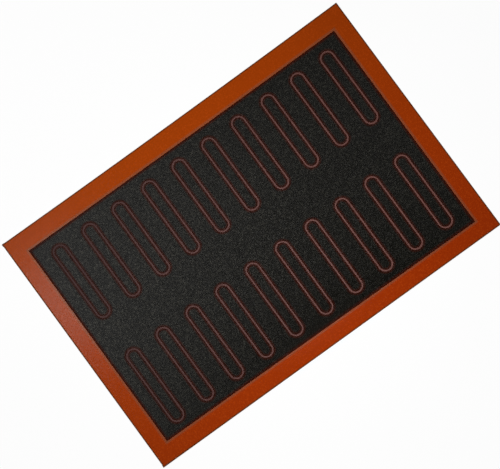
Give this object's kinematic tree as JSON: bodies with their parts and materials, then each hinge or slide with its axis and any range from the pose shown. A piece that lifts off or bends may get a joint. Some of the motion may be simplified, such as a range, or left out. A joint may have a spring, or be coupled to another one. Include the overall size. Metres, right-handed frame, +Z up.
{
  "type": "open-mesh baking mat",
  "caption": "Flat flexible open-mesh baking mat with a solid silicone border and rows of long rounded outlines that guide piped dough.",
  "frame": {"origin": "middle of the underside of the mat, on the surface that it lies on", "axes": "+X along the long side, +Y across the mat to the rear, +Z up out of the printed face"},
  "size_m": [0.6, 0.4, 0.0008],
  "materials": {
    "mesh": "black silicone coat on woven glass yarns, satin",
    "border": "red-brown silicone film, satin, with the weave showing faintly through",
    "outline": "muted red silicone print on the crowns of the yarns, satin"
  },
  "bodies": {
    "root": {"weft_mesh_layer": "mesh", "warp_mesh_layer": "mesh", "border_face_band": "border", "border_back_band": "border", "eclair_outline_row1_01": "outline", "eclair_outline_row1_02": "outline", "eclair_outline_row1_03": "outline", "eclair_outline_row1_04": "outline", "eclair_outline_row1_05": "outline", "eclair_outline_row1_06": "outline", "eclair_outline_row1_07": "outline", "eclair_outline_row1_08": "outline", "eclair_outline_row1_09": "outline", "eclair_outline_row1_10": "outline", "eclair_outline_row2_01": "outline", "eclair_outline_row2_02": "outline", "eclair_outline_row2_03": "outline", "eclair_outline_row2_04": "outline", "eclair_outline_row2_05": "outline", "eclair_outline_row2_06": "outline", "eclair_outline_row2_07": "outline", "eclair_outline_row2_08": "outline", "eclair_outline_row2_09": "outline", "eclair_outline_row2_10": "outline"}
  },
  "joints": []
}
